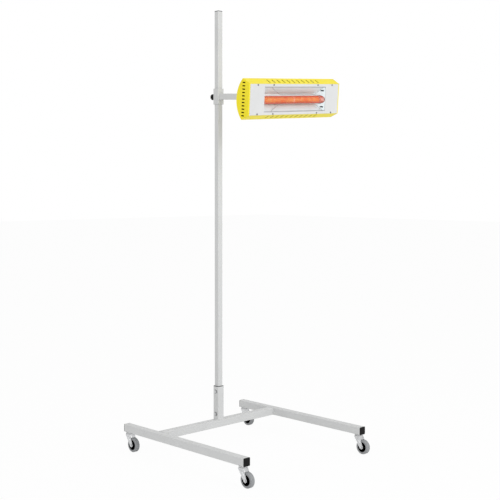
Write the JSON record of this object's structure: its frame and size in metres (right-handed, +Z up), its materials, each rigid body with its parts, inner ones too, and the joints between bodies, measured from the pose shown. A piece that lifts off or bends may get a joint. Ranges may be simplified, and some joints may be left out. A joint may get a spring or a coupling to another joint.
{
  "type": "infrared curing lamp",
  "caption": "Infrared curing lamp: a slotted yellow lamp head on a swivelling, tilting arm that slides on a tall square mast, on an H-shaped base with swivel castors.",
  "frame": {"origin": "on the floor, at the middle of the whole object's outline", "axes": "+Z up the mast, the lamp faces -Y, +X to the right-hand leg as the lamp sees it from behind"},
  "size_m": [0.877, 0.9484, 2.298],
  "materials": {
    "paint": "light grey powder coat",
    "yellow_paint": "yellow powder coat, satin",
    "plate_paint": "near-white powder coat",
    "zinc": "bright zinc plating",
    "steel": "plain steel",
    "black_plastic": "black moulded plastic",
    "grey_rubber": "grey rubber tread",
    "reflector_sheet": "polished sheet",
    "ceramic": "unglazed ceramic, opaque",
    "quartz": "clear quartz",
    "hot_wire": "resistance wire, glowing",
    "wire_cover": "heat-proof wire cover"
  },
  "bodies": {
    "stand": {"left_leg": "paint", "right_leg": "paint", "cross_tube": "paint", "leg_end_plugs": "black_plastic", "castor_stem_nuts": "zinc", "castor_balls": "zinc", "front_left_stem": "zinc", "front_right_stem": "zinc", "back_left_stem": "zinc", "back_right_stem": "zinc", "mast_socket": "paint", "socket_liner": "black_plastic", "socket_bolts": "zinc", "socket_nuts": "zinc", "mast": "paint", "mast_plug": "black_plastic"},
    "front_left_swivel": {"front_left_fork": "zinc", "front_left_axle": "zinc"},
    "front_left_wheel": {"front_left_hub": "black_plastic", "front_left_tyre": "grey_rubber"},
    "front_right_swivel": {"front_right_fork": "zinc", "front_right_axle": "zinc"},
    "front_right_wheel": {"front_right_hub": "black_plastic", "front_right_tyre": "grey_rubber"},
    "back_left_swivel": {"back_left_fork": "zinc", "back_left_axle": "zinc"},
    "back_left_wheel": {"back_left_hub": "black_plastic", "back_left_tyre": "grey_rubber"},
    "back_right_swivel": {"back_right_fork": "zinc", "back_right_axle": "zinc"},
    "back_right_wheel": {"back_right_hub": "black_plastic", "back_right_tyre": "grey_rubber"},
    "carriage": {"clamp_sleeve": "paint", "sleeve_nut": "zinc", "arm_tube": "paint", "arm_end_plate": "steel", "swivel_bolt": "zinc"},
    "clamp_screw_body": {"clamp_screw": "zinc"},
    "clamp_knob_body": {"clamp_knob": "black_plastic"},
    "yoke_body": {"yoke": "zinc", "tilt_bolt": "zinc"},
    "tilt_knob_body": {"tilt_knob": "black_plastic"},
    "lamp_head": {"casing_shell": "yellow_paint", "left_end_panel": "yellow_paint", "right_end_panel": "yellow_paint", "front_plate": "plate_paint", "plate_screws": "zinc", "reflector": "reflector_sheet", "reflector_ends": "reflector_sheet", "quartz_tube": "quartz", "heating_coil": "hot_wire", "tube_caps": "ceramic", "tube_holders": "zinc", "terminal_block": "ceramic", "internal_wires": "wire_cover", "mains_inlet": "black_plastic", "switch_frame": "black_plastic", "head_bracket": "zinc", "bracket_bolts": "zinc"},
    "power_rocker": {"switch_rocker": "black_plastic"}
  },
  "joints": [
    {"name": "front_left_swivel_turn", "type": "hinge", "parent": "stand", "child": "front_left_swivel", "pos_m": [-0.417, -0.40675, 0.0932], "axis": [0, 0, 1], "continuous": true},
    {"name": "front_left_wheel_roll", "type": "hinge", "parent": "front_left_swivel", "child": "front_left_wheel", "pos_m": [-0.417, -0.43675, 0.0375], "axis": [1, 0, 0], "continuous": true},
    {"name": "front_right_swivel_turn", "type": "hinge", "parent": "stand", "child": "front_right_swivel", "pos_m": [0.417, -0.40675, 0.0932], "axis": [0, 0, 1], "continuous": true},
    {"name": "front_right_wheel_roll", "type": "hinge", "parent": "front_right_swivel", "child": "front_right_wheel", "pos_m": [0.417, -0.43675, 0.0375], "axis": [1, 0, 0], "continuous": true},
    {"name": "back_left_swivel_turn", "type": "hinge", "parent": "stand", "child": "back_left_swivel", "pos_m": [-0.417, 0.44925, 0.0932], "axis": [0, 0, 1], "continuous": true},
    {"name": "back_left_wheel_roll", "type": "hinge", "parent": "back_left_swivel", "child": "back_left_wheel", "pos_m": [-0.417, 0.41925, 0.0375], "axis": [1, 0, 0], "continuous": true},
    {"name": "back_right_swivel_turn", "type": "hinge", "parent": "stand", "child": "back_right_swivel", "pos_m": [0.417, 0.44925, 0.0932], "axis": [0, 0, 1], "continuous": true},
    {"name": "back_right_wheel_roll", "type": "hinge", "parent": "back_right_swivel", "child": "back_right_wheel", "pos_m": [0.417, 0.41925, 0.0375], "axis": [1, 0, 0], "continuous": true},
    {"name": "height_slide", "type": "slide", "parent": "stand", "child": "carriage", "axis": [0, 0, 1], "range_m": [-1.4, 0.395]},
    {"name": "clamp_screw_advance", "type": "slide", "parent": "carriage", "child": "clamp_screw_body", "axis": [0, 1, 0], "range_m": [0, 0.003]},
    {"name": "clamp_knob_turn", "type": "hinge", "parent": "clamp_screw_body", "child": "clamp_knob_body", "pos_m": [0, 0.21925, 1.855], "axis": [0, 1, 0], "range_deg": [0, 722]},
    {"name": "head_swivel", "type": "hinge", "parent": "carriage", "child": "yoke_body", "pos_m": [0, -0.21793, 1.82826], "axis": [0, -0.9981, -0.061], "range_deg": [-94, 86]},
    {"name": "tilt_knob_turn", "type": "hinge", "parent": "yoke_body", "child": "tilt_knob_body", "pos_m": [0, -0.21793, 1.82826], "axis": [0.9976, -0.0043, 0.0696], "range_deg": [-180, 0]},
    {"name": "head_tilt", "type": "hinge", "parent": "yoke_body", "child": "lamp_head", "pos_m": [0, -0.21793, 1.82826], "axis": [0.9976, -0.0043, 0.0696], "range_deg": [-75, 85]},
    {"name": "power_switch", "type": "hinge", "parent": "lamp_head", "child": "power_rocker", "pos_m": [0.31047, -0.27773, 1.85739], "axis": [-0.0049, 0.9915, 0.1304], "range_deg": [-14, 0]}
  ],
  "couplings": [
    {"joint": "clamp_knob_turn", "follows": "clamp_screw_advance", "rad_per_m": 4188.8}
  ]
}
